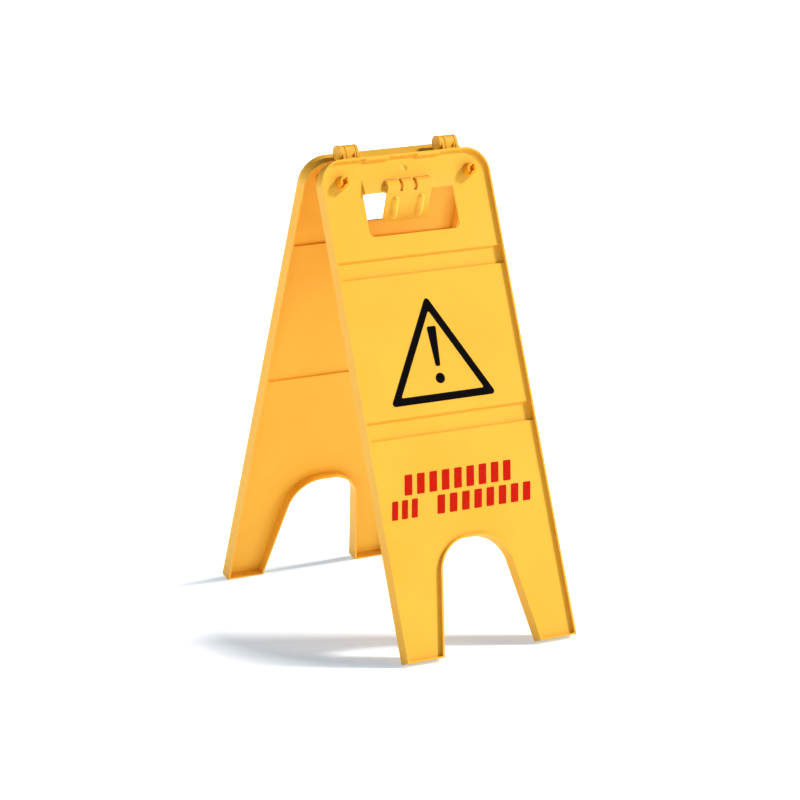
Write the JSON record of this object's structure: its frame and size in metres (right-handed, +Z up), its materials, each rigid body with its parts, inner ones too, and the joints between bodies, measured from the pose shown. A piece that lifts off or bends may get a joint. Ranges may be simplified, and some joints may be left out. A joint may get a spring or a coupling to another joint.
{
  "type": "wet floor sign",
  "caption": "Free-standing folding floor sign: two yellow moulded leaves hinged at the top, with arched feet, hand holes and a closing latch.",
  "frame": {"origin": "on the floor, midway between the leaves' feet and under the hinge line, at the middle of the width", "axes": "+Z up; +X along the hinge line, to the right of a reader who faces the front leaf; the front leaf faces -Y"},
  "size_m": [0.2438, 0.4692, 0.6016],
  "materials": {
    "front_leaf_plastic": "satin moulded polypropylene, dyed through",
    "back_leaf_plastic": "satin moulded polypropylene, dyed through",
    "latch_plastic": "satin moulded polypropylene, dyed through",
    "pin_plastic": "satin moulded polypropylene, dyed through",
    "stud_plastic": "satin moulded polypropylene, dyed through",
    "black_ink": "flat printed ink",
    "red_ink": "flat printed ink"
  },
  "bodies": {
    "front": {"front_leaf": "front_leaf_plastic", "hinge_pin_left": "pin_plastic", "hinge_pin_right": "pin_plastic", "front_hook_stud_left": "stud_plastic", "front_hook_stud_right": "stud_plastic"},
    "back": {"back_leaf": "back_leaf_plastic", "back_hook_stud_left": "stud_plastic", "back_hook_stud_right": "stud_plastic"},
    "latch": {"closing_latch": "latch_plastic"}
  },
  "joints": [
    {"name": "fold", "type": "hinge", "parent": "front", "child": "back", "pos_m": [0, 0, 0.59202], "axis": [-1, 0, 0], "range_deg": [0, 40.4]},
    {"name": "latch_swing", "type": "hinge", "parent": "front", "child": "latch", "pos_m": [0, -0.0304, 0.54993], "axis": [1, 0, 0], "range_deg": [-56, 44]}
  ]
}
